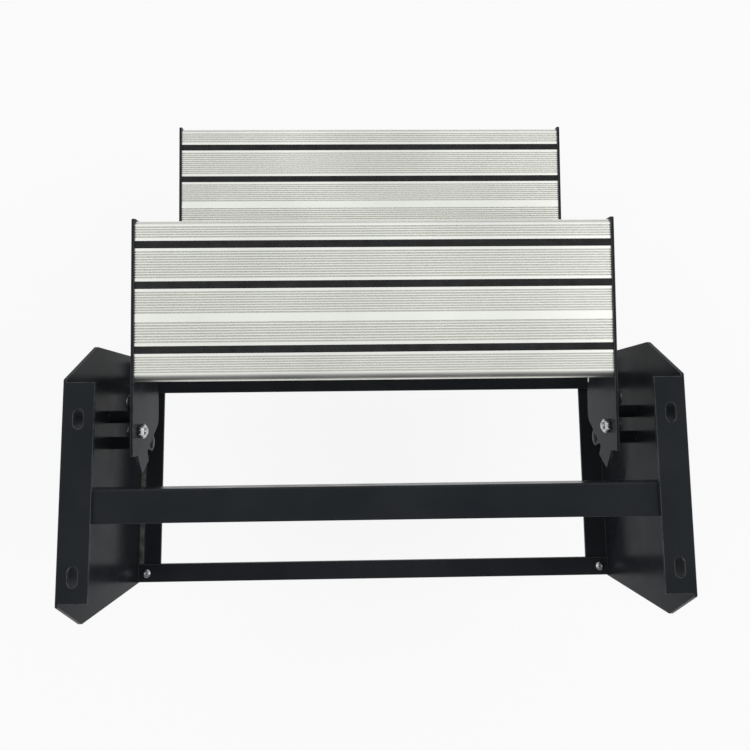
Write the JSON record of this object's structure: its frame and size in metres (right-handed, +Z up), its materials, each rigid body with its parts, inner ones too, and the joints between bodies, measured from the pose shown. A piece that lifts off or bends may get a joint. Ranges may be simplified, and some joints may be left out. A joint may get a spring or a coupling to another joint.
{
  "type": "folding caravan entry step",
  "caption": "Fold-out double entry step: black steel under-floor frame, ribbed aluminium treads with rubber inserts, parallel swing links and a flip-over lower step.",
  "frame": {"origin": "centre of the rectangle of fixing slots, on the top face of the frame's flanges, steps swung out", "axes": "+X out from the vehicle, +Y to the left when facing out, +Z up through the slots"},
  "size_m": [0.5849, 0.608, 0.2626],
  "materials": {
    "black_steel": "satin powder coat",
    "tread_aluminium": "mill, ribbed",
    "insert_rubber": "matt",
    "zinc_fixings": "bright zinc"
  },
  "bodies": {
    "frame": {"bracket_left": "black_steel", "bracket_right": "black_steel", "cross_bar": "black_steel", "strip_front": "black_steel", "strip_rear": "black_steel", "strip_screws": "zinc_fixings", "pivot_pins": "black_steel", "frame_spacers": "black_steel"},
    "rear_link_left": {"link_rear_left": "black_steel"},
    "rear_link_right": {"link_rear_right": "black_steel"},
    "front_link_left": {"link_front_left": "black_steel"},
    "front_link_right": {"link_front_right": "black_steel"},
    "upper_step": {"upper_tread": "tread_aluminium", "upper_insert_1": "insert_rubber", "upper_insert_2": "insert_rubber", "upper_insert_3": "insert_rubber", "upper_plate_left": "black_steel", "upper_plate_right": "black_steel", "arm_bolts": "zinc_fixings", "arm_nuts": "zinc_fixings", "arm_washers": "zinc_fixings", "upper_screws": "zinc_fixings", "hinge_bolts": "zinc_fixings", "hinge_nuts": "zinc_fixings"},
    "lower_step": {"lower_tread": "tread_aluminium", "lower_insert_1": "insert_rubber", "lower_insert_2": "insert_rubber", "lower_insert_3": "insert_rubber", "lower_plate_left": "black_steel", "lower_plate_right": "black_steel", "hinge_arm_left": "black_steel", "hinge_arm_right": "black_steel", "lower_screws": "zinc_fixings"}
  },
  "joints": [
    {"name": "rear_link_left_swing", "type": "hinge", "parent": "frame", "child": "rear_link_left", "pos_m": [0.0465, 0, -0.13202], "axis": [0, -1, 0], "range_deg": [0, 70]},
    {"name": "rear_link_right_swing", "type": "hinge", "parent": "frame", "child": "rear_link_right", "pos_m": [0.0465, 0, -0.13202], "axis": [0, -1, 0], "range_deg": [0, 70]},
    {"name": "front_link_left_swing", "type": "hinge", "parent": "frame", "child": "front_link_left", "pos_m": [0.07555, 0, -0.12598], "axis": [0, -1, 0], "range_deg": [0, 70]},
    {"name": "front_link_right_swing", "type": "hinge", "parent": "frame", "child": "front_link_right", "pos_m": [0.07555, 0, -0.12598], "axis": [0, -1, 0], "range_deg": [0, 70]},
    {"name": "upper_step_level", "type": "hinge", "parent": "rear_link_left", "child": "upper_step", "pos_m": [0.06, 0, -0.06602], "axis": [0, -1, 0], "range_deg": [-70, 0]},
    {"name": "lower_step_flip", "type": "hinge", "parent": "upper_step", "child": "lower_step", "pos_m": [0.28213, 0, -0.12607], "axis": [0, -1, 0], "range_deg": [0, 180]}
  ],
  "couplings": [
    {"joint": "rear_link_right_swing", "follows": "rear_link_left_swing", "ratio": 1},
    {"joint": "front_link_left_swing", "follows": "rear_link_left_swing", "ratio": 1},
    {"joint": "front_link_right_swing", "follows": "rear_link_left_swing", "ratio": 1},
    {"joint": "upper_step_level", "follows": "rear_link_left_swing", "ratio": -1}
  ]
}
